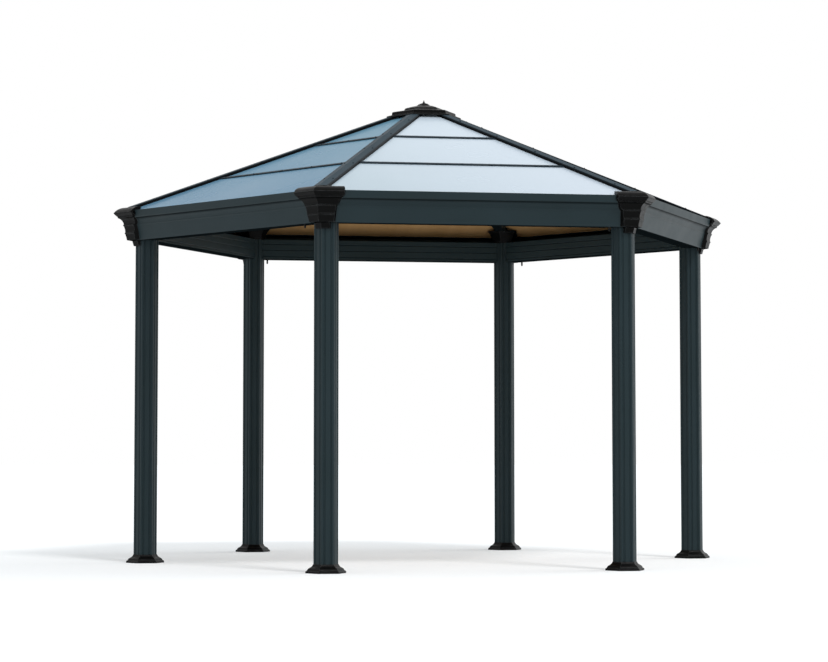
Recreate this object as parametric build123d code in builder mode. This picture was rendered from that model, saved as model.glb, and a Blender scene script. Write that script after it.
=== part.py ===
"""Hexagonal garden gazebo with a shallow hipped roof, an open frame on six fluted posts.

Millimetres, +Z up, the origin on the ground at the middle of the plan. A corner is named by where
it stands, a side by where it faces, and the front side runs along X at negative Y. The apothem of
anything on a side is its distance from the middle of the plan, square to that side.
"""
from build123d import *
import os
from math import atan, cos, degrees, radians, sin, tan

# Plan, height and pitch
corner_radius = 1980.0
eaves_height = 2244.0
roof_pitch = 22.88
corners = {"right": 0, "back_right": 60, "back_left": 120, "left": 180, "front_left": 240, "front_right": 300}
sides = {"back_right": 30, "back": 90, "back_left": 150, "front_left": 210, "front": 270, "front_right": 330}

# Clearances
seat_gap = 0.3
crown_gap = 0.5
joint_gap = 1.0

# Posts
post_radius = 80.5
post_wall = 3.0
flute_width = 16.0
flute_depth = 5.0
flute_spacing = 42.6

# Base plates and foot covers
base_plate_margin = 35.5
base_plate_thickness = 5.0
anchor_hole = 11.0
anchor_inset = 22.0
anchor_count = 3
foot_flare = 52.0
foot_height = 57.0
foot_wall = 3.0

# Beams
beam_lift = 2.0
beam_depth = 148.0
beam_thickness = 107.0
beam_cover = 2.6
beam_wall = 3.5
beam_groove = 4.0
beam_groove_rises = (18.0, 68.0, 113.0)

# Cornice, from its foot up and out
cornice_offset = 19.0
cornice_wall = 3.0
fascia_rise = 98.0
fascia_lean = 28.0
cove_rise = 54.0
band_reach = 72.0
lip_rise = 50.0
lip_reach = 82.0
shelf_width = 36.0

# Roof
lip_cover = 11.8
panel_thickness = 6.0
panel_rows = 3
panel_hip_gap = 14.0
panel_lap = 8.0
panel_top_apothem = 116.0
rafter_width = 76.0
rafter_depth = 60.0
rafter_wall = 3.0
rafter_overrun = 5.0
hub_apothem = 90.0
hub_wall = 6.0
hub_skirt = 7.0
bar_width = 30.0
bar_rise = 8.0
bar_flange = 3.0
bar_web = 3.0

# Hip caps
cap_width = 95.0
cap_rise = 22.0
cap_skirt = 16.0
cap_shoulder_inset = 4.0
cap_wall = 3.0
cap_lap = 122.0

# Capitals
capital_flare = 49.0
capital_wall = 5.0
capital_rim = 12.0
capital_collar = 15.0
capital_foot_reach = 3.0

# Corner crowns
crown_reach = 32.84
crown_lid = 3.86
crown_apron = 86.0
crown_drop = 38.0
crown_dome = 14.5
crown_bevel = 0.55
crown_arm_lid = 90.0
crown_arm_top = 80.0
crown_arm_shoulder = 37.0
crown_arm_foot = 26.0
crown_arm_collar = 6.0
crown_arm_bow = 10.0

# Roof crown and finial
roof_crown_radius = 272.0
roof_crown_well = 60.0
finial_radius = 31.0
finial_height = 29.0

# Worked out from the sizes above
half_angle = 30.0
root3_2 = cos(radians(half_angle))
side_slope = tan(radians(roof_pitch))
hip_slope = side_slope * root3_2
cross_slope = side_slope / 2
hip_angle = degrees(atan(hip_slope))
side_apothem = corner_radius * root3_2
post_apothem = post_radius * root3_2
beam_bottom = eaves_height + beam_lift
post_top = beam_bottom + beam_depth
beam_outer = side_apothem + post_apothem + beam_cover
beam_inner = beam_outer - beam_thickness
fascia_foot = beam_outer + cornice_offset
fascia_top = eaves_height + fascia_rise
cove_top = fascia_top + cove_rise
lip_top = cove_top + lip_rise
lip_apothem = fascia_foot + lip_reach
glass_apex = lip_top - lip_cover + side_slope * lip_apothem
apex_height = glass_apex + cap_rise
panel_seat = panel_thickness / cos(radians(roof_pitch)) + seat_gap


def along(azimuth):
    """Vertical plane through the Z axis, with X outwards at this azimuth and Y up."""
    c, s = cos(radians(azimuth)), sin(radians(azimuth))
    return Plane(origin=(0, 0, 0), x_dir=(c, s, 0), z_dir=(s, -c, 0))


def across(azimuth, distance, height=0.0):
    """Vertical plane facing outwards at this distance, with X along the side and Y up."""
    c, s = cos(radians(azimuth)), sin(radians(azimuth))
    return Plane(origin=(distance * c, distance * s, height), x_dir=(-s, c, 0), z_dir=(c, s, 0))


def slope_plane(azimuth, apex):
    """Plane of one roof side through the apex height given, with X along the side and Y upslope."""
    c, s = cos(radians(azimuth)), sin(radians(azimuth))
    t = radians(roof_pitch)
    return Plane(origin=(0, 0, apex), x_dir=(-s, c, 0), z_dir=(sin(t) * c, sin(t) * s, cos(t)))


def slope_section(azimuth, apothem):
    """Section plane of a side, X down the slope and Y out of it, its origin on the panels' top."""
    c, s = cos(radians(azimuth)), sin(radians(azimuth))
    t = radians(roof_pitch)
    origin = (apothem * c, apothem * s, glass_height(apothem))
    return Plane(origin=origin, x_dir=(cos(t) * c, cos(t) * s, -sin(t)), z_dir=(s, -c, 0))


def hip_section(azimuth, radius):
    """Upright plane across a hip, its origin on the line where the panels' top faces meet."""
    return across(azimuth, radius, hip_height(radius))


def hip_direction(azimuth):
    """Direction down the hip at this azimuth."""
    t = radians(hip_angle)
    return (cos(t) * cos(radians(azimuth)), cos(t) * sin(radians(azimuth)), -sin(t))


def hip_run(start, end):
    """Length along the hip between two plan radii."""
    return (end - start) / cos(radians(hip_angle))


def hip_height(radius):
    """Height over a corner's plan radius of the line where the panels' top faces meet."""
    return glass_apex - hip_slope * radius


def glass_height(apothem, below=0.0):
    """Height of the panels' top face at an apothem, or of a plane that far below it."""
    return glass_apex - side_slope * apothem - below


def corner_point(azimuth):
    """Plan position of the post at this azimuth."""
    return (corner_radius * cos(radians(azimuth)), corner_radius * sin(radians(azimuth)))


def mitre(azimuth, gap=0.0):
    """Trim the piece being made to the sector of one side, less a gap at each corner plane."""
    for sign in (1, -1):
        b = radians(azimuth + sign * half_angle)
        normal = (-sign * sin(b), sign * cos(b), 0)
        split(bisect_by=Plane(origin=(-gap * normal[0], -gap * normal[1], 0), z_dir=normal), keep=Keep.BOTTOM)


def hexagon(radius, mode=Mode.ADD):
    """Regular hexagon by its corner radius, with a corner on local X."""
    return RegularPolygon(radius, 6, mode=mode)


def add_six(sector):
    """Add six turned copies of one side's sector to the piece being made."""
    for turn in range(0, 360, 60):
        add(sector.part, rotation=(0, 0, turn))


def cut_post(azimuth, gap, bottom, height):
    """Cut room for the post at this azimuth out of the piece being made."""
    with BuildSketch(Plane.XY.offset(bottom)) as room:
        with Locations(corner_point(azimuth)):
            hexagon(post_radius + gap)
    extrude(room.sketch, amount=height, mode=Mode.SUBTRACT)


def finish_piece(piece, name):
    """Name a finished piece and write it to its file."""
    piece.part.label = name
    export_step(piece.part, f"parts/{name}.step")


os.makedirs("parts", exist_ok=True)


# Posts: a hollow hexagon with two flutes in each face
bore_radius = post_radius - (flute_depth + post_wall) / root3_2
flute_floor = flute_width / 2 - flute_depth

for name, azimuth in corners.items():
    with BuildPart() as post:
        with BuildSketch(Plane.XY.offset(base_plate_thickness)):
            with Locations(corner_point(azimuth)):
                hexagon(post_radius)
                hexagon(bore_radius, mode=Mode.SUBTRACT)
                with PolarLocations(post_apothem, 6, start_angle=half_angle):
                    for shift in (-flute_spacing / 2, flute_spacing / 2):
                        Polygon(
                            (0, shift - flute_width / 2),
                            (0, shift + flute_width / 2),
                            (-flute_depth, shift + flute_floor),
                            (-flute_depth, shift - flute_floor),
                            align=None,
                            mode=Mode.SUBTRACT,
                        )
        extrude(amount=post_top - base_plate_thickness)
    finish_piece(post, f"post_{name}")


# Base plates: hidden under the foot covers, three anchor holes each
plate_radius = post_radius + base_plate_margin
with BuildPart() as base_plates:
    with BuildSketch():
        for azimuth in corners.values():
            with Locations(corner_point(azimuth)):
                hexagon(plate_radius)
                with PolarLocations(plate_radius - anchor_inset, anchor_count):
                    Circle(anchor_hole / 2, mode=Mode.SUBTRACT)
    extrude(amount=base_plate_thickness)
finish_piece(base_plates, "base_plates")


# Foot covers: a moulded hexagonal ring that steps in from the ground to the post
foot_apothem = (post_radius + foot_flare) * root3_2
foot_neck = post_apothem + seat_gap


def from_rim(inward, up):
    """Point of the foot cover's section, measured in and up from the edge on the ground."""
    return (foot_apothem - inward, up)


with BuildPart() as foot_sector:
    with BuildSketch(along(half_angle)):
        with BuildLine():
            Polyline(from_rim(0, 0), from_rim(0, 11), from_rim(5, 16), from_rim(9, 17))
            ThreePointArc(from_rim(9, 17), from_rim(14, 27), from_rim(22, 34))
            ledge = Line(from_rim(22, 34), from_rim(26, 36))
            cove = ThreePointArc(ledge @ 1, (foot_neck + 8, foot_height - 12), (foot_neck + 2, foot_height))
            Polyline(
                cove @ 1,
                (foot_neck, foot_height),
                (foot_neck, foot_height - 10),
                from_rim(foot_wall, 8),
                from_rim(foot_wall, 0),
                from_rim(0, 0),
            )
        make_face()
    extrude(amount=2 * foot_apothem, both=True)
    mitre(half_angle)

for name, azimuth in corners.items():
    with BuildPart() as foot_cover:
        with Locations(corner_point(azimuth)):
            add_six(foot_sector)
    finish_piece(foot_cover, f"foot_cover_{name}")


# Beams: box sections between the posts, their ends cut round the post, grooved on the inner face
for name, azimuth in sides.items():
    with BuildPart() as beam:
        with BuildSketch(along(azimuth)):
            with Locations(((beam_inner + beam_outer) / 2, (beam_bottom + post_top) / 2)):
                Rectangle(beam_thickness, beam_depth)
            with Locations(((beam_inner + beam_outer + beam_groove) / 2, (beam_bottom + post_top) / 2)):
                Rectangle(
                    beam_thickness - 2 * beam_wall - beam_groove,
                    beam_depth - 2 * beam_wall,
                    mode=Mode.SUBTRACT,
                )
            for rise in beam_groove_rises:
                with Locations((beam_inner, beam_bottom + rise)):
                    Polygon(
                        (0, -beam_groove),
                        (beam_groove, 0),
                        (0, beam_groove),
                        align=None,
                        mode=Mode.SUBTRACT,
                    )
        extrude(amount=corner_radius / 2, both=True)
        for end in (azimuth - half_angle, azimuth + half_angle):
            cut_post(end, seat_gap / root3_2, beam_bottom, beam_depth)
        mitre(azimuth, joint_gap)
    finish_piece(beam, f"beam_{name}")


# Cornices: a leaning fascia, a cove and a lipped band, with a flange to the beam and a glazing shelf
def cornice_line(shift):
    """Draw the cornice face from foot to lip, moved outwards by the shift, and return its two ends."""
    foot = (fascia_foot + shift, eaves_height)
    head = (fascia_foot + fascia_lean + shift, fascia_top)
    bead = (head[0] + 4, fascia_top + 6)
    quirk = (head[0] + 4, fascia_top + 16)
    cove_end = (fascia_foot + band_reach - 6 + shift, cove_top)
    band = (fascia_foot + band_reach + shift, cove_top + 6)
    lip = (lip_apothem + shift, lip_top)
    Polyline(foot, head, bead, quirk)
    ThreePointArc(quirk, (head[0] + 18, fascia_top + 42), cove_end)
    Polyline(cove_end, band, lip)
    return foot, lip


shelf_outer = fascia_foot + band_reach + cornice_wall
shelf_inner = shelf_outer - shelf_width - cornice_wall
flange_inner = beam_outer + seat_gap

for name, azimuth in sides.items():
    with BuildPart() as cornice:
        with BuildSketch(along(azimuth)):
            with BuildLine():
                outer_foot, outer_lip = cornice_line(0)
                inner_foot, inner_lip = cornice_line(-cornice_wall)
                Line(outer_foot, inner_foot)
                Line(outer_lip, inner_lip)
            make_face()
            with Locations(((flange_inner + fascia_foot) / 2, eaves_height + cornice_wall / 2)):
                Rectangle(fascia_foot - flange_inner, cornice_wall)
            Polygon(
                (shelf_inner, glass_height(shelf_inner, panel_seat)),
                (shelf_outer, glass_height(shelf_outer, panel_seat)),
                (shelf_outer, glass_height(shelf_outer, panel_seat + cornice_wall)),
                (shelf_inner, glass_height(shelf_inner, panel_seat + cornice_wall)),
                align=None,
            )
        extrude(amount=corner_radius, both=True)
        mitre(azimuth, joint_gap)
        for end in (azimuth - half_angle, azimuth + half_angle):
            cut_post(end, 2 * joint_gap, eaves_height, 2 * cornice_wall)
    finish_piece(cornice, f"cornice_{name}")


# Corner crowns: mitred mouldings that fit over the cornice corner and down round the post's head
tip_apothem = lip_apothem + crown_reach
tip_height = lip_top + crown_lid - side_slope * crown_reach
crown_inner = tip_apothem - crown_apron
crown_foot = eaves_height - crown_drop
crown_body_foot = eaves_height + beam_lift
crown_shoulder_depth = 64.0
crown_foot_depth = 83.0
crown_collar_depth = 117.0
neck_inner = side_apothem + foot_neck


def from_tip(inward, down):
    """Point of the crown's section, measured in and down from its drip edge."""
    return (tip_apothem - inward, tip_height - down)


def arm_end(reach, inward=0.0):
    """Place along a side, on the plane of the drip edge, of an arm's bevelled end.

    The reach is how far the arm goes past the post's middle, at this far in from the drip edge.
    """
    return corner_radius / 2 - reach + crown_bevel * inward


def bevel_direction(azimuth, sign):
    """Direction into a side, and as the bevel runs out along it from the corner that the sign names."""
    c, s = cos(radians(azimuth)), sin(radians(azimuth))
    return (-c + sign * crown_bevel * s, -s - sign * crown_bevel * c, 0)


def arm_plane(azimuth, sign, reach):
    """Plane square to a side, at this reach past the middle of the post that the sign names, facing it."""
    c, s = cos(radians(azimuth)), sin(radians(azimuth))
    place = sign * (corner_radius / 2 - reach)
    return Plane(origin=(-s * place, c * place, 0), z_dir=(-sign * s, sign * c, 0))


def crown_section():
    """Draw the closed section of the crown on a side's vertical plane."""
    foot, lip = cornice_line(crown_gap)
    lid = lip_top + crown_gap
    notch = lip_apothem - 3 * cornice_wall
    Polyline(
        lip,
        (lip_apothem + crown_gap, lid),
        (notch, lid),
        (notch, glass_height(notch, -crown_gap)),
        (crown_inner, glass_height(crown_inner, -crown_gap)),
        from_tip(crown_apron, -side_slope * crown_apron),
    )
    ThreePointArc(
        from_tip(crown_apron, -side_slope * crown_apron),
        from_tip(crown_apron / 2, -side_slope * crown_apron / 2 - crown_dome),
        from_tip(3, -side_slope * 3),
    )
    Polyline(
        from_tip(3, -side_slope * 3),
        from_tip(0, 0),
        from_tip(4, 8),
        from_tip(19, 24),
        from_tip(25, 27),
        from_tip(26, 36),
        from_tip(38, 41),
    )
    ThreePointArc(from_tip(38, 41), from_tip(54, 57), from_tip(63, 80))
    Polyline(from_tip(63, 80), from_tip(59, 84), from_tip(59, 89), from_tip(63, 93))
    ThreePointArc(from_tip(63, 93), from_tip(70, 114), from_tip(72, 136))
    Polyline(
        from_tip(72, 136),
        from_tip(69, 140),
        from_tip(69, 145),
        from_tip(73, 149),
        from_tip(79, 170),
        (tip_apothem - crown_foot_depth, crown_body_foot),
        (tip_apothem - crown_collar_depth + 2, crown_body_foot - 6),
        (tip_apothem - crown_collar_depth, crown_foot + 28),
        (tip_apothem - crown_collar_depth - 7, crown_foot),
        (neck_inner, crown_foot),
        (neck_inner, eaves_height - seat_gap),
        (fascia_foot + crown_gap, eaves_height - seat_gap),
        foot,
    )


for name, azimuth in corners.items():
    with BuildPart() as crown:
        for sign in (-1, 1):
            side_azimuth = azimuth - sign * half_angle
            with BuildPart(mode=Mode.PRIVATE) as arm:
                with BuildSketch(along(side_azimuth)):
                    with BuildLine():
                        crown_section()
                    make_face()
                extrude(amount=corner_radius, both=True)
                mitre(side_azimuth)
                top = sign * arm_end(crown_arm_top)
                shoulder = sign * arm_end(crown_arm_shoulder, crown_shoulder_depth)
                foot = sign * arm_end(crown_arm_foot, crown_foot_depth)
                collar = sign * arm_end(crown_arm_collar, crown_collar_depth)
                flare = (top + shoulder) / 2 + sign * crown_arm_bow
                with BuildSketch(across(side_azimuth, tip_apothem)) as room:
                    Polygon(
                        (top, apex_height),
                        (top, lip_top - 25),
                        (flare, cove_top - 14),
                        (shoulder, fascia_top),
                        (foot, crown_body_foot),
                        (collar, crown_body_foot),
                        (collar, crown_foot - crown_drop),
                        (sign * corner_radius, crown_foot - crown_drop),
                        (sign * corner_radius, apex_height),
                        align=None,
                    )
                extrude(
                    room.sketch,
                    amount=3 * crown_apron,
                    dir=bevel_direction(side_azimuth, sign),
                    mode=Mode.INTERSECT,
                )
                split(bisect_by=arm_plane(side_azimuth, sign, crown_arm_lid), keep=Keep.TOP)
            add(arm.part)
    finish_piece(crown, f"corner_crown_{name}")


# Hub: an open hexagonal cup that takes the six rafters
def roof_crown_seat(apothem):
    """Height of the roof crown's underside, just over the hip caps."""
    return apex_height + crown_gap - side_slope * apothem


rafter_foot = panel_seat + rafter_depth
hub_bottom = hip_height(hub_apothem) - rafter_foot - hub_skirt
hub_top = roof_crown_seat(hub_apothem / root3_2) - hub_skirt

with BuildPart() as hub:
    with BuildSketch(Plane.XY.offset(hub_bottom)):
        RegularPolygon(hub_apothem, 6, major_radius=False, rotation=half_angle)
    extrude(amount=hub_top - hub_bottom)
    with BuildSketch(Plane.XY.offset(hub_bottom + hub_wall)):
        RegularPolygon(hub_apothem - hub_wall, 6, major_radius=False, rotation=half_angle)
    extrude(amount=hub_top - hub_bottom, mode=Mode.SUBTRACT)
finish_piece(hub, "hub")


# Hip rafters: hollow, with a ridged top that follows the two roof sides
rafter_half = rafter_width / 2
rafter_start = hub_apothem + seat_gap


def rafter_face(gap=0.0):
    """Draw the rafter's outline across the hip, grown by a gap."""
    half = rafter_half + gap
    Polyline(
        (-half, -rafter_foot - gap),
        (half, -rafter_foot - gap),
        (half, -cross_slope * half - panel_seat),
        (0, -panel_seat),
        (-half, -cross_slope * half - panel_seat),
        close=True,
    )


for name, azimuth in corners.items():
    with BuildPart() as rafter:
        with BuildSketch(hip_section(azimuth, rafter_start)):
            with BuildLine():
                rafter_face()
            make_face()
            inner_top = -cross_slope * rafter_half - panel_seat - rafter_wall
            inner_bottom = rafter_wall - rafter_foot
            with Locations((0, (inner_top + inner_bottom) / 2)):
                Rectangle(rafter_width - 2 * rafter_wall, inner_top - inner_bottom, mode=Mode.SUBTRACT)
        extrude(amount=hip_run(rafter_start, corner_radius + rafter_overrun), dir=hip_direction(azimuth))
    finish_piece(rafter, f"hip_rafter_{name}")


# Hip caps: pressed covers over the joint between two roof sides, from the roof crown to the corner crown
cap_half = cap_width / 2
cap_start = roof_crown_radius - cap_lap
cap_end = crown_inner / root3_2


def cap_face(inset, foot):
    """Return the hip cap's outline across the hip, from its left foot to its right, moved in by an inset."""
    half = cap_half - inset
    shoulder = cap_half - cap_shoulder_inset - inset / 3
    shoulder_top = cap_rise - cross_slope * shoulder - inset
    skirt_top = crown_gap - cross_slope * cap_half + cap_skirt - inset * 2 / 3
    return [
        (-half, foot),
        (-half, skirt_top),
        (-shoulder, shoulder_top),
        (0, cap_rise - inset),
        (shoulder, shoulder_top),
        (half, skirt_top),
        (half, foot),
    ]


with BuildPart() as hip_caps:
    for azimuth in corners.values():
        with BuildPart(mode=Mode.PRIVATE) as hip_cap:
            with BuildSketch(hip_section(azimuth, cap_start)):
                outer_foot = crown_gap - cross_slope * cap_half
                inner_foot = crown_gap - cross_slope * (cap_half - cap_wall)
                outline = cap_face(0, outer_foot) + cap_face(cap_wall, inner_foot)[::-1]
                Polygon(*outline, align=None)
            extrude(amount=hip_run(cap_start, cap_end), dir=hip_direction(azimuth))
            for turn in (half_angle, -half_angle):
                split(bisect_by=across(azimuth + turn, crown_inner - crown_gap), keep=Keep.BOTTOM)
        add(hip_cap.part)
finish_piece(hip_caps, "hip_caps")


# Roof panels: three rows a side, with a glazing bar between two rows
bar_slot = bar_web / 2 + crown_gap
panel_bottom_apothem = lip_apothem - panel_lap
row_pitch = (panel_bottom_apothem - panel_top_apothem) / panel_rows
row_feet = [panel_bottom_apothem - row * row_pitch for row in range(panel_rows + 1)]

for name, azimuth in sides.items():
    with BuildPart() as panels:
        for row in range(panel_rows):
            low = row_feet[row] / cos(radians(roof_pitch)) - (bar_slot if row else 0)
            high = row_feet[row + 1] / cos(radians(roof_pitch)) + bar_slot
            with BuildSketch(slope_plane(azimuth, glass_apex)):
                with Locations((0, -(low + high) / 2)):
                    Rectangle(2 * corner_radius, low - high)
            extrude(amount=-panel_thickness)
        mitre(azimuth, panel_hip_gap)
    finish_piece(panels, f"roof_panels_{name}")


# Glazing bars: a flange under the panels, a web between them and a chamfered cap over them
bar_bottom = -panel_thickness - seat_gap - bar_flange
bar_half = bar_width / 2

with BuildPart() as glazing_bars:
    for azimuth in sides.values():
        for apothem in row_feet[1:panel_rows]:
            with BuildPart(mode=Mode.PRIVATE) as bar_foot:
                with BuildSketch(slope_section(azimuth, apothem)):
                    with Locations((0, bar_bottom + bar_flange / 2)):
                        Rectangle(bar_width, bar_flange)
                    with Locations((0, bar_bottom / 2)):
                        Rectangle(bar_web, -bar_bottom)
                extrude(amount=corner_radius, both=True)
                mitre(azimuth, rafter_half + seat_gap)
            with BuildPart(mode=Mode.PRIVATE) as bar_cap:
                with BuildSketch(slope_section(azimuth, apothem)):
                    Polygon(
                        (-bar_half, seat_gap),
                        (bar_half, seat_gap),
                        (bar_half, bar_rise - bar_flange),
                        (bar_half - bar_flange, bar_rise),
                        (bar_flange - bar_half, bar_rise),
                        (-bar_half, bar_rise - bar_flange),
                        align=None,
                    )
                    Rectangle(bar_web, bar_rise)
                extrude(amount=corner_radius, both=True)
                mitre(azimuth, cap_half + seat_gap)
            add(bar_foot.part)
            add(bar_cap.part)
finish_piece(glazing_bars, "glazing_bars")


# Capitals: flared bells on the posts' heads, cut round the rafter that they carry
capital_radius = post_radius + capital_flare
capital_apothem = capital_radius * root3_2
capital_foot = post_apothem + capital_foot_reach
capital_top = hip_height(corner_radius - capital_radius) - rafter_foot
bell_middle = (post_top + capital_top) / 2

with BuildPart() as capital_sector:
    with BuildSketch(along(half_angle)):
        rim_foot = (capital_apothem - 6, capital_top - capital_rim)
        with BuildLine():
            foot_ring = Polyline(
                (capital_foot - capital_wall - capital_collar, post_top),
                (capital_foot, post_top),
                (capital_foot, post_top + 8),
                (capital_foot + 3, post_top + 12),
            )
            ThreePointArc(foot_ring @ 1, (capital_foot + 12, bell_middle), rim_foot)
            Polyline(
                rim_foot,
                (capital_apothem, capital_top - capital_rim + 2),
                (capital_apothem, capital_top),
                (capital_apothem - capital_wall, capital_top),
                (rim_foot[0] - capital_wall, rim_foot[1]),
                (capital_foot + 12 - capital_wall, bell_middle),
                (capital_foot - capital_wall, post_top + 8),
                (capital_foot - capital_wall - capital_collar, post_top + 6),
                (capital_foot - capital_wall - capital_collar, post_top),
            )
        make_face()
    extrude(amount=capital_radius, both=True)
    mitre(half_angle)

with BuildPart() as capitals:
    for azimuth in corners.values():
        with BuildPart(mode=Mode.PRIVATE) as capital:
            with Locations(corner_point(azimuth)):
                add_six(capital_sector)
            for turn in (half_angle, -half_angle):
                cut = slope_plane(azimuth + turn, glass_apex - panel_seat - joint_gap)
                split(bisect_by=cut, keep=Keep.BOTTOM)
            with BuildSketch(hip_section(azimuth, corner_radius - 2 * capital_radius)):
                with BuildLine():
                    rafter_face(seat_gap)
                make_face()
            extrude(amount=4 * capital_radius, dir=hip_direction(azimuth), mode=Mode.SUBTRACT)
        add(capital.part)
finish_piece(capitals, "capitals")


# Roof crown: stepped tiers over the ends of the hip caps, with an air gap over each roof side
base_apothem = roof_crown_radius * root3_2
dome_apothem = finial_radius + 2.0
crown_top = roof_crown_seat(dome_apothem) + 15.6


def tier(share, rise):
    """Point of the roof crown's section, a share of the way in from its rim and a rise over its seat."""
    apothem = base_apothem - share * (base_apothem - dome_apothem)
    return (apothem, roof_crown_seat(apothem) + rise)


with BuildPart() as roof_crown_sector:
    with BuildSketch(along(half_angle)):
        Polygon(
            tier(0, 0),
            tier(0.005, 7.6),
            tier(0.143, 4.9),
            tier(0.163, 5.2),
            tier(0.173, 22.3),
            tier(0.207, 23.4),
            tier(0.548, 7.8),
            tier(0.577, 18.1),
            tier(0.607, 18.6),
            tier(0.79, 15.6),
            tier(0.928, 9.0),
            tier(0.985, 13.6),
            (dome_apothem, crown_top),
            (0, crown_top),
            (0, roof_crown_seat(roof_crown_well)),
            (roof_crown_well, roof_crown_seat(roof_crown_well)),
            align=None,
        )
    extrude(amount=roof_crown_radius, both=True)
    mitre(half_angle)

with BuildPart() as roof_crown:
    add_six(roof_crown_sector)
finish_piece(roof_crown, "roof_crown")


# Finial: a low ogee that ends in a point
with BuildPart() as finial:
    with BuildSketch(Plane.XZ):
        Polygon(
            (0, crown_top),
            (finial_radius, crown_top),
            (finial_radius, crown_top + 3),
            (finial_radius - 12, crown_top + 6.5),
            (finial_radius - 22, crown_top + 11),
            (4.4, crown_top + 19),
            (2.4, crown_top + finial_height),
            (0, crown_top + finial_height),
            align=None,
        )
    revolve(axis=Axis.Z)
finish_piece(finial, "finial")
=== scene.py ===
"""Hexagonal garden gazebo: finishes and small fittings round its frame, with floor, light and camera."""
from math import cos, pi, radians, sin, tan

import bmesh
import bpy
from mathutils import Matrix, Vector


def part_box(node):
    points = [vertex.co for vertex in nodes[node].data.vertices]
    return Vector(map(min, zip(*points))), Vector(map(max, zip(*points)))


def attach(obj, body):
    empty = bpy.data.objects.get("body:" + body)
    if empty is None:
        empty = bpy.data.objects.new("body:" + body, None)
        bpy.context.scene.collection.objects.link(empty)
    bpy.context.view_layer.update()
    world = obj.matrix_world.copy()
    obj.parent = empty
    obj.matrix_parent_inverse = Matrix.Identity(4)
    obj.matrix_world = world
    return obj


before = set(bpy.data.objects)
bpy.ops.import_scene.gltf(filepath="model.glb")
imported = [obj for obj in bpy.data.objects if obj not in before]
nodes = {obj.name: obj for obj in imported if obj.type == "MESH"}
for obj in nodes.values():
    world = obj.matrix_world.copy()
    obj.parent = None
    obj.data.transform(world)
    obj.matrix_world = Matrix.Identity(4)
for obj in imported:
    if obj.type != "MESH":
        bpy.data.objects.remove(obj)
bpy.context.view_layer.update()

scene = bpy.context.scene

# Sizes in metres and degrees. An apothem is the distance of a side from the middle of the plan
corner_radius = 1.980
roof_pitch = 22.88
panel_thickness = 0.006
panel_rows = 3
panel_top_apothem = 0.116
bar_rise = 0.008
cap_rise = 0.022
anchor_inset = 0.022
side_azimuths = range(30, 360, 60)
corner_azimuths = range(0, 360, 60)

# Worked out from the sizes above and from the frame
half_angle = pi / 6
side_slope = tan(radians(roof_pitch))
eaves_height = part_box("cornice_front")[0][2]
beam_outer = -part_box("beam_front")[0][1]
cap_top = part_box("hip_caps")[1][2]
plate_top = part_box("base_plates")[1][2]
anchor_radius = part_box("base_plates")[1][0] - corner_radius - anchor_inset
panel_foot = -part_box("roof_panels_front")[0][1]
panel_foot_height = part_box("roof_panels_front")[0][2] + panel_thickness * cos(radians(roof_pitch))
glass_apex = panel_foot_height + side_slope * panel_foot
row_pitch = (panel_foot - panel_top_apothem) / panel_rows
bar_apothems = [panel_foot - row * row_pitch for row in range(1, panel_rows)]


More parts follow.
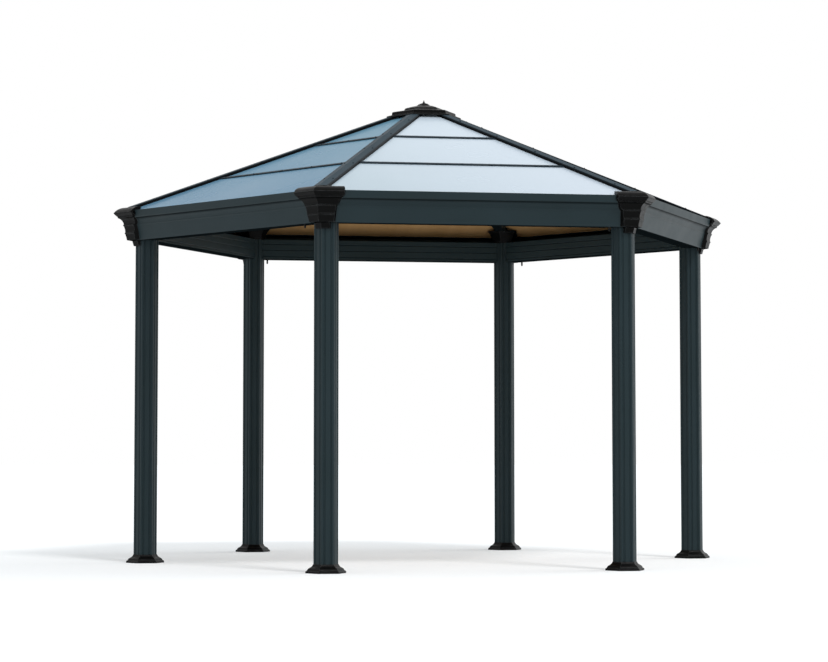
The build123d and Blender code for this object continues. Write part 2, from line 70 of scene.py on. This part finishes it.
# Node helpers
class Graph:
    """The node tree of a material or a world, with short calls for the nodes used here."""

    def __init__(self, owner):
        owner.use_nodes = True
        self.owner = owner
        self.nodes = owner.node_tree.nodes
        self.links = owner.node_tree.links

    def node(self, kind, **settings):
        made = self.nodes.new(kind)
        for key, value in settings.items():
            setattr(made, key, value)
        return made

    def put(self, socket, value):
        """Link a socket to another socket, or set it to a constant."""
        if isinstance(value, bpy.types.NodeSocket):
            self.links.new(value, socket)
        else:
            socket.default_value = value

    def build(self, kind, inputs, output=0, **settings):
        """Output of a new node whose sockets, by name or number, take the inputs given."""
        made = self.node(kind, **settings)
        for key, value in inputs.items():
            self.put(made.inputs[key], value)
        return made.outputs[output]

    def maths(self, operation, a, b):
        return self.build("ShaderNodeMath", {0: a, 1: b}, operation=operation)

    def share(self, value, factor):
        """A fixed share of a value."""
        return self.maths("MULTIPLY", value, factor)

    def vector(self, operation, *terms):
        return self.build("ShaderNodeVectorMath", dict(enumerate(terms)), operation=operation)

    def dot(self, a, b):
        return self.build("ShaderNodeVectorMath", {0: a, 1: b}, "Value", operation="DOT_PRODUCT")

    def noise(self, vector, scale, detail=3.0):
        return self.build("ShaderNodeTexNoise", {"Vector": vector, "Scale": scale, "Detail": detail}, "Fac")

    def spread(self, value, low, high, to_low=0.0, to_high=1.0):
        """A value between low and high, stretched to run from to_low to to_high and held there past them."""
        ends = {"From Min": low, "From Max": high, "To Min": to_low, "To Max": to_high}
        return self.build("ShaderNodeMapRange", {"Value": value, **ends}, "Result", clamp=True)

    def mix(self, factor, a, b):
        return self.build("ShaderNodeMix", {"Factor": factor, 6: a, 7: b}, 2, data_type="RGBA")

    def bump(self, height, strength, depth):
        inputs = {"Height": height, "Strength": strength, "Distance": depth}
        return self.build("ShaderNodeBump", inputs, "Normal")

    def position(self):
        return self.build("ShaderNodeNewGeometry", {}, "Position")

    def normal(self):
        return self.build("ShaderNodeNewGeometry", {}, "Normal")

    def axis(self, vector, number):
        """One axis of a vector: 0, 1 or 2."""
        return self.build("ShaderNodeSeparateXYZ", {0: vector}, number)

    def open_to(self, reach):
        """How open a place is within the reach: 1 in the open, falling towards 0 in a crevice."""
        return self.build("ShaderNodeAmbientOcclusion", {"Distance": reach}, "AO", samples=8)

    def edges(self, radius):
        """A mask that is high where a face turns into another within the radius."""
        rounded = self.build("ShaderNodeBevel", {"Radius": radius}, "Normal", samples=4)
        return self.spread(self.dot(rounded, self.normal()), low=0.995, high=0.9)

    def seen(self):
        """1 for the camera's rays and for those through gloss or glass, and 0 for those that light."""
        path = self.node("ShaderNodeLightPath").outputs
        direct = self.maths("MAXIMUM", path["Is Camera Ray"], path["Is Glossy Ray"])
        return self.maths("MAXIMUM", direct, path["Is Transmission Ray"])

    def either(self, factor, first, second):
        return self.build("ShaderNodeMixShader", {0: factor, 1: first, 2: second})

    def coat(self, **sockets):
        """Set the finish's sockets, with _ for each space in a name."""
        shader = self.nodes["Principled BSDF"]
        for key, value in sockets.items():
            self.put(shader.inputs[key.replace("_", " ")], value)
        return self.owner


def rgb(red, green, blue):
    """A colour given as screen values from 0 to 255, turned into the linear values that nodes take."""
    def linear(value):
        value /= 255
        return value / 12.92 if value <= 0.04045 else ((value + 0.055) / 1.055) ** 2.4
    return (linear(red), linear(green), linear(blue), 1.0)


# Finishes: the reach and depth of their small effects, and their darkest colours, which are painted shade
paint_crevice = 0.012
plastic_crevice = 0.014
rubbed_highlight_edge = 0.0022
scuffed_highlight_edge = 0.0035
rolled_edge = 0.007
grain_depth = 0.0003
spangle_depth = 0.0004
streak_depth = 0.001
paint_crevice_shade = rgb(5, 8, 10)
paint_underside_shade = rgb(10, 12, 13)
cap_shadow = rgb(7, 9, 11)
plastic_crevice_shade = rgb(2, 2, 2)


def underside(g):
    """A mask for faces that look down."""
    return g.spread(g.axis(g.normal(), 2), low=-0.7, high=-0.95)


def dull_below(g, below, level):
    """The specular level given, fading out on faces that look down."""
    return g.spread(below, 0.0, 1.0, to_low=level, to_high=0.0)


def powder_coat(name, colour, light, roughness, level, edge=None, edge_width=rubbed_highlight_edge, skirt=None):
    """Powder-coated aluminium: soft tonal drift, painted shade in its grooves, worn edges lightened with
    painted highlight, and a dull underside with painted shade.

    An edge colour takes the place of the worn, highlighted edges, and a skirt colour is for the upright
    faces; on the hip caps both are painted shadow.
    """
    g = Graph(bpy.data.materials.new(name))
    where = g.position()
    below = underside(g)
    drift = g.spread(g.noise(where, scale=2.2, detail=4.0), 0.3, 0.7)
    speckle = g.spread(g.noise(where, scale=140.0, detail=2.0), 0.35, 0.75)
    tone = g.mix(drift, colour, light)
    tone = g.mix(g.share(speckle, 0.2), tone, light)
    # Upright faces take the skirt colour; on the hip caps it is painted shadow.
    if skirt:
        tone = g.mix(g.spread(g.axis(g.normal(), 2), 0.75, 0.4), tone, skirt)
    # Painted shade: the paint turns darker the more closed in a groove or crevice is.
    clear = g.open_to(paint_crevice)
    tone = g.mix(g.spread(clear, 0.35, 0.85, to_low=0.75, to_high=0.0), tone, paint_crevice_shade)
    # Edges turn lighter, partly worn paint and partly painted highlight; where an edge colour is given, as
    # on the hip caps, painted shadow goes there instead.
    least, most = (0.8, 1.0) if edge else (0.15, 0.5)
    edge_wear_and_painted_light = g.spread(g.noise(where, scale=18.0), 0.35, 0.7, to_low=least, to_high=most)
    edge_wear_and_painted_light = g.maths("MULTIPLY", edge_wear_and_painted_light, g.spread(clear, 0.6, 0.85))
    edge_wear_and_painted_light = g.maths("MULTIPLY", g.edges(edge_width), edge_wear_and_painted_light)
    rubbed_highlight = tuple(min(1.0, 2.4 * part) for part in light[:3]) + (1.0,)
    tone = g.mix(edge_wear_and_painted_light, tone, edge or rubbed_highlight)
    # Painted shade on faces that look down.
    tone = g.mix(g.share(below, 0.85), tone, paint_underside_shade)
    haze = g.noise(where, scale=9.0, detail=5.0)
    return g.coat(
        Base_Color=tone,
        Roughness=g.spread(haze, 0.3, 0.7, to_low=roughness - 0.02, to_high=roughness + 0.03),
        Specular_IOR_Level=dull_below(g, below, level),
        Normal=g.bump(g.noise(where, scale=380.0, detail=2.0), 0.05, grain_depth),
    )


def moulded_plastic(name, colour, light, edge, roughness, level):
    """Black moulded plastic: satin, with faint flow marks, painted shade in its seams and crevices, and pale
    lines on its mouldings that are partly scuffing and partly painted highlight.
    """
    g = Graph(bpy.data.materials.new(name))
    where = g.position()
    below = underside(g)
    flow = g.noise(g.vector("MULTIPLY", where, (3.0, 3.0, 14.0)), scale=2.0, detail=4.0)
    tone = g.mix(g.spread(flow, 0.3, 0.7), colour, light)
    # Painted shade: darker in seams and crevices, the more closed in they are.
    clear = g.open_to(plastic_crevice)
    tone = g.mix(g.spread(clear, 0.4, 0.9, to_low=0.9, to_high=0.0), tone, plastic_crevice_shade)
    # Pale edges of the mouldings: partly scuffing and partly painted highlight.
    scuff_and_highlight = g.spread(g.noise(where, scale=25.0), 0.35, 0.65, to_low=0.3, to_high=0.9)
    scuff_and_highlight = g.maths("MULTIPLY", scuff_and_highlight, g.spread(clear, 0.6, 0.85))
    scuff_and_highlight = g.maths("MULTIPLY", g.edges(scuffed_highlight_edge), scuff_and_highlight)
    tone = g.mix(scuff_and_highlight, tone, edge)
    satin = g.noise(where, scale=30.0, detail=4.0)
    return g.coat(
        Base_Color=tone,
        Roughness=g.spread(satin, 0.3, 0.7, to_low=roughness - 0.06, to_high=roughness + 0.08),
        Specular_IOR_Level=dull_below(g, below, level),
        Normal=g.bump(g.noise(where, scale=700.0, detail=1.0), 0.1, grain_depth),
    )


def black_rubber(name):
    """Extruded rubber seal: matt black with a chalky bloom."""
    g = Graph(bpy.data.materials.new(name))
    where = g.position()
    bloom = g.spread(g.noise(where, scale=40.0, detail=4.0), 0.4, 0.75)
    return g.coat(
        Base_Color=g.mix(bloom, rgb(8, 9, 10), rgb(17, 19, 20)),
        Roughness=g.spread(bloom, 0.0, 1.0, to_low=0.55, to_high=0.75),
        Specular_IOR_Level=0.1,
        Normal=g.bump(g.noise(where, scale=500.0, detail=2.0), 0.2, grain_depth),
    )


def zinc_plate(name):
    """Galvanised steel: a grey spangle with dull and bright grains."""
    g = Graph(bpy.data.materials.new(name))
    cells = g.build("ShaderNodeTexVoronoi", {"Vector": g.position(), "Scale": 90.0}, "Color")
    grain = g.node("ShaderNodeSeparateColor")
    g.put(grain.inputs[0], cells)
    brightness, gloss, height = grain.outputs
    return g.coat(
        Base_Color=g.mix(brightness, rgb(134, 138, 140), rgb(172, 176, 178)),
        Roughness=g.spread(gloss, 0.0, 1.0, to_low=0.32, to_high=0.55),
        Metallic=0.85,
        Normal=g.bump(height, 0.1, spangle_depth),
    )


def roof_sheet(name):
    """Bronze polycarbonate: pale above, with painted shade making the left sides deeper and bluer, and
    daylight through the sheet painted in bronze below.
    """
    g = Graph(bpy.data.materials.new(name))
    where = g.position()
    normal = g.normal()
    level_line = g.vector("CROSS_PRODUCT", (0.0, 0.0, 1.0), normal)
    across = g.dot(where, g.vector("NORMALIZE", level_line))
    streak_place = g.build("ShaderNodeCombineXYZ", {0: across})
    streak = g.spread(g.noise(streak_place, scale=5.0, detail=4.0), 0.3, 0.7)
    cloud = g.spread(g.noise(where, scale=1.3), 0.3, 0.7)
    climb = g.spread(g.axis(where, 2), low=eaves_height, high=cap_top)
    shift = g.spread(across, low=-1.1, high=0.9)
    # Painted shade: sides that face left take a deeper, bluer tone.
    painted_shade_left = g.spread(g.axis(normal, 0), low=-0.12, high=-0.32)
    upper = g.spread(g.axis(normal, 2), low=-0.1, high=0.1)
    pale = g.mix(shift, rgb(155, 175, 184), rgb(195, 205, 216))
    pale = g.mix(g.share(streak, 0.2), pale, rgb(182, 195, 206))
    pale = g.mix(g.share(cloud, 0.2), pale, rgb(197, 208, 219))
    pale = g.mix(g.share(climb, 0.5), pale, rgb(214, 224, 234))
    # The bluer painted shade lightens towards the top.
    cool = g.mix(climb, rgb(92, 129, 156), rgb(108, 150, 170))
    cool = g.mix(g.share(cloud, 0.2), cool, rgb(108, 142, 166))
    # Painted light: the undersides take a bronze daylight colour in place of light through the sheet.
    painted_daylight = g.mix(streak, rgb(166, 128, 84), rgb(182, 144, 98))
    sheen = g.spread(painted_shade_left, 0.0, 1.0, to_low=0.3, to_high=0.02)
    return g.coat(
        Base_Color=g.mix(upper, painted_daylight, g.mix(painted_shade_left, pale, cool)),
        Roughness=g.spread(cloud, 0.0, 1.0, to_low=0.2, to_high=0.3),
        Specular_IOR_Level=g.maths("MULTIPLY", upper, sheen),
        Normal=g.bump(streak, 0.03, streak_depth),
    )


paint = powder_coat("frame_paint", rgb(33, 46, 49), rgb(37, 50, 54), roughness=0.42, level=0.12)
# The hip caps carry painted shadow: near-black along their edges and on their upright skirts.
cap_paint = powder_coat(
    "hip_paint",
    rgb(38, 53, 62),
    rgb(44, 60, 69),
    roughness=0.45,
    level=0.05,
    edge=cap_shadow,
    edge_width=rolled_edge,
    skirt=cap_shadow,
)
bar_paint = powder_coat("bar_paint", rgb(20, 33, 41), rgb(25, 39, 47), roughness=0.46, level=0.06)
# The pale edge colour is partly scuffing and partly painted highlight.
plastic = moulded_plastic(
    "black_moulding",
    rgb(7, 7, 7),
    rgb(12, 12, 12),
    edge=rgb(80, 82, 83),
    roughness=0.34,
    level=0.055,
)
rubber = black_rubber("black_seal")
sheet = roof_sheet("roof_sheet")
zinc = zinc_plate("zinc")

finishes = {
    "post_": paint,
    "beam_": paint,
    "cornice_": paint,
    "hip_rafter_": paint,
    "hub": paint,
    "hip_caps": cap_paint,
    "glazing_bars": bar_paint,
    "roof_panels_": sheet,
    "base_plates": zinc,
    "foot_cover_": plastic,
    "corner_crown_": plastic,
    "capitals": plastic,
    "roof_crown": plastic,
    "finial": plastic,
}
for name, piece in nodes.items():
    for start, material in finishes.items():
        if name.startswith(start):
            piece.data.materials.clear()
            piece.data.materials.append(material)


# Small fittings, each one piece made of closed meshes
def loft(rings):
    """Corners and faces of a closed mesh through rings of as many points each."""
    count = len(rings[0])
    points = [point for ring in rings for point in ring]
    faces = [tuple(range(count)), tuple(range(len(points) - count, len(points)))]
    for first in range(0, len(points) - count, count):
        for i in range(count):
            j = (i + 1) % count
            faces.append((first + i, first + j, first + j + count, first + i + count))
    return points, faces


def turned(origin, axis, profile, count):
    """A turned solid on the axis given, through the radius and the height of each step of the profile."""
    axis = Vector(axis).normalized()
    across = axis.orthogonal().normalized()
    beside = axis.cross(across)
    turns = [2 * pi * i / count for i in range(count)]
    spokes = [cos(turn) * across + sin(turn) * beside for turn in turns]
    return loft([
        [Vector(origin) + height * axis + radius * spoke for spoke in spokes]
        for radius, height in profile
    ])


def make_piece(name, solids, material):
    """One named piece from its closed meshes, riding on the frame."""
    shape = bmesh.new()
    for points, faces in solids:
        made = [shape.verts.new(point) for point in points]
        for face in faces:
            shape.faces.new([made[i] for i in face])
    bmesh.ops.recalc_face_normals(shape, faces=shape.faces)
    mesh = bpy.data.meshes.new(name)
    shape.to_mesh(mesh)
    shape.free()
    piece = bpy.data.objects.new(name, mesh)
    scene.collection.objects.link(piece)
    mesh.materials.append(material)
    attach(piece, "root")


def glass_height(apothem):
    """Height of the panels' top face at an apothem."""
    return glass_apex - side_slope * apothem


def at_azimuth(azimuth, outward, along, height):
    """Point by its distance outward at an azimuth, its place square to that, and its height."""
    c, s = cos(radians(azimuth)), sin(radians(azimuth))
    return Vector((outward * c - along * s, outward * s + along * c, height))


def on_hip(azimuth, radius, offset, lift):
    """Point by its radius along a hip, its offset across it and its lift over the panels."""
    apothem = radius * cos(half_angle) + abs(offset) * sin(half_angle)
    return at_azimuth(azimuth, radius, offset, glass_height(apothem) + lift)


def roof_normal(azimuth):
    """Direction square to the roof side at this azimuth."""
    return at_azimuth(azimuth, sin(radians(roof_pitch)), 0.0, cos(radians(roof_pitch)))


# Eaves seals: the section by its reach past the panels' feet and its lift over them
seal_section = ((0.0006, -0.006), (0.0006, 0.002), (0.0025, 0.0035), (0.0042, 0.002), (0.0042, -0.006))
seal_end_gap = 0.19


def eaves_seals():
    """Rubber strips between the panels' feet and the cornice lips."""
    half = panel_foot * tan(half_angle) - seal_end_gap
    foot = glass_height(panel_foot)
    for azimuth in side_azimuths:
        yield loft([
            [at_azimuth(azimuth, panel_foot + out, along, foot + lift) for out, lift in seal_section]
            for along in (-half, half)
        ])


# Screws: the head by its radius and height, with a recess in its middle
screw_head = ((0.0058, 0.0), (0.0058, 0.0012), (0.0044, 0.0027), (0.0021, 0.0033), (0.0019, 0.0019))
screw_facets = 10
bar_screw_end = 0.11
bar_screw_spacing = 0.3
cap_screw_first = 0.42
cap_screw_spacing = 0.38
cap_screw_offset = 0.030
cap_screw_rows = 5


def bar_screws():
    """Pan-head screws along the glazing bars."""
    for azimuth in side_azimuths:
        square = roof_normal(azimuth)
        for apothem in bar_apothems:
            reach = apothem * tan(half_angle) - bar_screw_end
            count = max(2, round(2 * reach / bar_screw_spacing) + 1)
            for i in range(count):
                along = -reach + 2 * reach * i / (count - 1)
                seat = at_azimuth(azimuth, apothem, along, glass_height(apothem)) + bar_rise * square
                yield turned(seat, square, screw_head, screw_facets)


def cap_screws():
    """Pan-head screws in pairs along the hip caps."""
    for azimuth in corner_azimuths:
        for row in range(cap_screw_rows):
            for sign in (-1, 1):
                radius = cap_screw_first + cap_screw_spacing * row
                seat = on_hip(azimuth, radius, sign * cap_screw_offset, cap_rise)
                yield turned(seat, roof_normal(azimuth + sign * 30), screw_head, screw_facets)


# Drain spouts: radius and height down the outside to the lip, then back up the bore
spout_profile = (
    (0.0045, 0.0),
    (0.0065, 0.0),
    (0.0065, -0.018),
    (0.0052, -0.029),
    (0.0036, -0.029),
    (0.0036, -0.004),
)
spout_facets = 14
spout_offset = 0.012
spout_from_corner = 0.116
spout_gap = 0.0002


def drain_spouts():
    """Short outlets under the cornices, one beside a post on each side."""
    along = corner_radius / 2 - spout_from_corner
    for azimuth in side_azimuths:
        top = at_azimuth(azimuth, beam_outer + spout_offset, along, eaves_height - spout_gap)
        yield turned(top, (0, 0, 1), spout_profile, spout_facets)


# Anchor bolts: washer, head and shank by radius and height over the plate, with their facets
anchor_parts = (
    (((0.0105, 0.0), (0.0105, 0.002)), 20),
    (((0.0096, 0.002), (0.0096, 0.0075), (0.0078, 0.0088)), 6),
    (((0.0048, -0.0046), (0.0048, 0.001)), 12),
)
anchor_gap = 0.0001


def anchor_bolts():
    """Hexagon-headed anchors in the holes of the base plates."""
    for azimuth in corner_azimuths:
        post = at_azimuth(azimuth, corner_radius, 0.0, plate_top + anchor_gap)
        for turn in (0, 120, 240):
            place = post + at_azimuth(turn, anchor_radius, 0.0, 0.0)
            for profile, facets in anchor_parts:
                yield turned(place, (0, 0, 1), profile, facets)


make_piece("eaves_seals", eaves_seals(), rubber)
make_piece("bar_screws", bar_screws(), bar_paint)
make_piece("cap_screws", cap_screws(), cap_paint)
make_piece("drain_spouts", drain_spouts(), plastic)
make_piece("anchor_bolts", anchor_bolts(), zinc)


# Floor and light
floor_size = 160.0
floor_colour = (0.8, 0.8, 0.8, 1.0)
floor_lift = 0.2
fill_colour = (0.9, 0.96, 1.0, 1.0)
fill_strength = 0.75
white = (1.0, 1.0, 1.0, 1.0)


def make_floor():
    """A pale floor that shows white where nothing shades it, and can be seen through from below."""
    bpy.ops.mesh.primitive_plane_add(size=floor_size)
    floor = bpy.context.object
    floor.name = "floor"
    g = Graph(bpy.data.materials.new("floor"))
    g.nodes.clear()
    diffuse = g.build("ShaderNodeBsdfDiffuse", {"Color": floor_colour})
    glow = g.build("ShaderNodeEmission", {"Color": white, "Strength": g.share(g.seen(), floor_lift)})
    above = g.build("ShaderNodeAddShader", {0: diffuse, 1: glow})
    underneath = g.build("ShaderNodeNewGeometry", {}, "Backfacing")
    clear = g.build("ShaderNodeBsdfTransparent", {})
    surface = g.either(underneath, above, clear)
    g.put(g.node("ShaderNodeOutputMaterial").inputs["Surface"], surface)
    floor.data.materials.append(g.owner)


def make_world():
    """A white backdrop for the camera and for reflections, and a cool even fill for the object."""
    scene.world = bpy.data.worlds.new("studio")
    g = Graph(scene.world)
    g.nodes.clear()
    fill = g.build("ShaderNodeBackground", {"Color": fill_colour, "Strength": fill_strength})
    backdrop = g.build("ShaderNodeBackground", {"Color": white})
    g.put(g.node("ShaderNodeOutputWorld").inputs["Surface"], g.either(g.seen(), fill, backdrop))


def make_sun(name, azimuth, elevation, strength, softness):
    """A soft distant lamp that shines from the azimuth and elevation given."""
    lamp = bpy.data.lights.new(name, "SUN")
    lamp.energy = strength
    lamp.angle = radians(softness)
    holder = bpy.data.objects.new(name, lamp)
    scene.collection.objects.link(holder)
    height = radians(elevation)
    towards = at_azimuth(azimuth, cos(height), 0.0, sin(height))
    holder.rotation_euler = towards.to_track_quat("Z", "Y").to_euler()


make_floor()
make_world()
make_sun("key", azimuth=291.8, elevation=50.0, strength=1.1, softness=12.0)
make_sun("right_fill", azimuth=8.0, elevation=30.0, strength=1.1, softness=45.0)


# Camera: tilt from straight down and heading in degrees, shift in frame widths
focal_pixels = 2655.905
frame_width = 828
camera_place = (-3.7757, -18.5734, 0.8313)
camera_tilt = 94.020
camera_heading = -11.062
camera_shift = (0.01196, -0.09043)
camera_data = bpy.data.cameras.new("camera")
camera_data.sensor_width = 36.0
camera_data.lens = focal_pixels * camera_data.sensor_width / frame_width
camera_data.shift_x = camera_shift[0]
camera_data.shift_y = camera_shift[1]
camera_data.clip_end = 400.0
camera = bpy.data.objects.new("camera", camera_data)
scene.collection.objects.link(camera)
camera.location = camera_place
camera.rotation_euler = (radians(camera_tilt), 0.0, radians(camera_heading))
scene.camera = camera

scene.view_settings.view_transform = "Standard"
